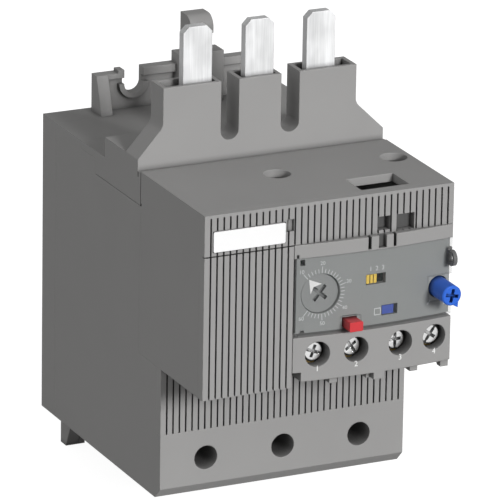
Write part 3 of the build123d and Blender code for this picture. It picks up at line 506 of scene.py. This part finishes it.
def faceplateMarks():
    stroke = marks["stroke"]
    low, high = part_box("class_slider")
    for i, text in enumerate(marks["classNumbers"]):
        x = low.x + marks["classPitch"] * (i + marks["classStart"])
        layNumber("class_number_" + text, text, x, high.z + marks["classRise"], marks["classHeight"],
                  plateFront, "housing", "pale")
    test = lowCorner("test_slider")
    x1 = test.x - marks["squareGap"]
    x0 = x1 - marks["square"]
    z0 = test.z + marks["squareRise"]
    z1 = z0 + marks["square"]
    square = [bar(x0, x1, z0, z0 + stroke), bar(x0, x1, z1 - stroke, z1),
              bar(x0, x0 + stroke, z0 + stroke, z1 - stroke), bar(x1 - stroke, x1, z0 + stroke, z1 - stroke)]
    layOutlines("test_square", square, plateFront, "housing", "pale")
    # painted shadow: a black line along the top of the button's opening
    stop = middle("stop_button")
    overStop = highCorner("stop_button").z + marks["stopShadowRise"]
    reach = marks["stopShadow"] / 2
    layOutlines("stop_shadow_line", [bar(stop.x - reach, stop.x + reach, overStop, overStop + stroke)],
                plateFront, "housing", "shadowBlack")
    # painted shadow: a black strip along the faceplate's left edge, where the gap by the hinge lies in shadow
    low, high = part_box("faceplate")
    hingeShade = bar(low.x, low.x + marks["hingeShadow"], low.z + stroke, high.z - stroke)
    layOutlines("hinge_shadow_line", [hingeShade], plateFront, "housing", "shadowBlack")
    knob = middle("reset_knob")
    ticks = [strip(knob, angle, *marks["knobTick"], stroke) for angle in marks["knobTicks"]]
    layOutlines("knob_ticks", ticks, plateFront, "housing", "pale")


terminalMarks = {"count": 4, "height": 1.55 * mm, "below": 3.9 * mm}


def terminalNumbers():
    for i in range(1, terminalMarks["count"] + 1):
        screw = middle(f"aux_screw_{i}")
        layNumber(f"terminal_number_{i}", str(i), screw.x, screw.z - terminalMarks["below"],
                  terminalMarks["height"], bowFront, "housing", "white")


# Painted shade: dark sheets laid on the floors of the latch pockets and of the slots of the strip under them, so these
# look deep and shaded: x0, x1, z0, z1 in mm from its top left
pockets = {
    "latches": ((23.5, 26.8, 0.9, 4.6), (28.8, 33.7, 0.2, 4.6)),
    "slots": ((20.1, 21.0, -3.3, 0), (23.1, 25.3, -3.3, 0), (27.3, 28.1, -3.3, 0)),
    "slotDepth": 1.6, "play": 0.04,
}


def pocketFloors():
    left = bowLow.x / mm + pockets["play"]
    right = bowLow.x / mm - pockets["play"]
    bottom = bowHigh.z / mm + pockets["play"]
    top = bowHigh.z / mm - pockets["play"]

    def floors(places):
        return [[(x * mm, z * mm) for x, z in bar(left + x0, right + x1, bottom + z0, top + z1)]
                for x0, x1, z0, z1 in places]

    panelBack = highCorner("ribbed_front").y
    slotBack = bowLow.y + pockets["slotDepth"] * mm
    layOutlines("latch_shade_sheets", floors(pockets["latches"]), lambda x: panelBack, "housing", "deep")
    layOutlines("slot_shade_sheets", floors(pockets["slots"]), lambda x: slotBack, "housing", "deep")


pocketFloors()
settingScale()
dialArrow()
faceplateMarks()
terminalNumbers()
print("printed marks laid")


# A pale floor that the camera sees as white, with the relay's soft shadow
studio = {
    "floorSize": 4.0, "floorColour": 0.30, "floorPatches": 3, "floorPatch": 1.02, "floorGlow": 0.93,
    "floorFade": (0.15, -0.25), "floorMirrored": (0.12, 0.62),  # mirrored light from the rear to the front
    "skyLight": 0.42, "skyLeftMore": 1.0, "skyRearMore": 0.55, "skyTopLess": 0.55,
    "skyFade": (0.3, -0.9), "skyMirrored": (0.22, 0.75),
    "sunStrength": 2.70, "sunFrom": (0.16, -0.90, 0.34), "sunSpread": 14,
}


def studioFloor():
    ground = cadBox[0][2]
    side = studio["floorSize"] / 2
    mesh = bpy.data.meshes.new("floor")
    mesh.from_pydata([(-side, -side, ground), (side, -side, ground), (side, side, ground), (-side, side, ground)],
                     [], [(0, 1, 2, 3)])
    floor = bpy.data.objects.new("floor", mesh)
    bpy.context.scene.collection.objects.link(floor)
    paint = Paint("floor_white", Roughness=1.0, Specular_IOR_Level=0.0, Emission_Color=(1, 1, 1, 1))
    shade = paint.noise(studio["floorPatches"])
    colour = studio["floorColour"]
    paint.drive("Base Color", paint.blend(shade, grey(colour), grey(colour * studio["floorPatch"])))
    camera = paint.add("LightPath", output="Is Camera Ray")
    mirrored = paint.add("LightPath", output="Is Glossy Ray")
    depth = paint.add("SeparateXYZ", None, {0: paint.place()}, output="Y")
    fade = paint.fade(depth, studio["floorFade"], studio["floorMirrored"])
    paint.drive("Emission Strength", camera * studio["floorGlow"] + mirrored * fade)
    below = paint.add("NewGeometry", output="Backfacing")  # from below the floor isn't seen
    faces = {0: below, 1: Signal(paint, paint.shader.outputs[0]), 2: paint.add("BsdfTransparent", output="BSDF")}
    mixed = paint.add("MixShader", None, faces, output="Shader")
    paint.feed(paint.tree.nodes["Material Output"].inputs["Surface"], mixed)
    mesh.materials.append(paint.material)


# Soft light from all round, more of it from the left and the rear, and one wide lamp
def studioLight():
    world = bpy.data.worlds.new("studio")
    bpy.context.scene.world = world
    world.use_nodes = True
    sky = Tree(world.node_tree)
    camera = sky.add("LightPath", output="Is Camera Ray")
    mirrored = sky.add("LightPath", output="Is Glossy Ray")
    towards = sky.add("TexCoord", output="Generated")
    toRight, toRear, upward = (sky.add("SeparateXYZ", None, {0: towards}, output=axis) for axis in "XYZ")
    fromLeft, fromRear, fromTop = (sky.add("Math", {"operation": "MAXIMUM"}, {0: side, 1: 0.0})
                                   for side in (0 - toRight, toRear, upward))
    more = fromLeft * studio["skyLeftMore"] + fromRear * studio["skyRearMore"] - fromTop * studio["skyTopLess"]
    soft = studio["skyLight"] * (1 + more)
    fade = sky.fade(toRear, studio["skyFade"], studio["skyMirrored"])
    indirect = (1 - mirrored) * soft + mirrored * fade
    background = world.node_tree.nodes["Background"]
    sky.feed(background.inputs["Color"], (1, 1, 1, 1))
    sky.feed(background.inputs["Strength"], camera + (1 - camera) * indirect)
    lamp = bpy.data.lights.new("window", "SUN")
    lamp.energy = studio["sunStrength"]
    lamp.angle = radians(studio["sunSpread"])
    sun = bpy.data.objects.new("window", lamp)
    sun.rotation_euler = Vector(studio["sunFrom"]).to_track_quat("Z", "Y").to_euler()
    bpy.context.scene.collection.objects.link(sun)


# The camera looks down from the front left through a long lens: angles in degrees, places in metres
view = {
    "turn": -25.723, "lift": 19.06, "roll": 0.975, "distance": 1.55756, "target": (0.00227, -0.050014, 0.013982),
    "lens": 429.57, "sensor": 36, "clip": (0.05, 20),
}


def placeCamera():
    turn = radians(view["turn"])
    lift = radians(view["lift"])
    roll = radians(view["roll"])
    back = Vector((sin(turn) * cos(lift), -cos(turn) * cos(lift), sin(lift)))
    levelRight = Vector((cos(turn), sin(turn), 0))
    levelUp = back.cross(levelRight)
    right = levelRight * cos(roll) + levelUp * sin(roll)
    up = levelUp * cos(roll) - levelRight * sin(roll)
    lens = bpy.data.cameras.new("camera")
    lens.lens = view["lens"]
    lens.sensor_fit = "HORIZONTAL"
    lens.sensor_width = view["sensor"]
    lens.clip_start, lens.clip_end = view["clip"]
    eye = bpy.data.objects.new("camera", lens)
    turned = Matrix((right, up, back)).transposed().to_4x4()
    eye.matrix_world = Matrix.Translation(Vector(view["target"]) + back * view["distance"]) @ turned
    bpy.context.scene.collection.objects.link(eye)
    bpy.context.scene.camera = eye


studioFloor()
studioLight()
placeCamera()
bpy.context.scene.view_settings.view_transform = "Standard"
print("floor, light and camera set")
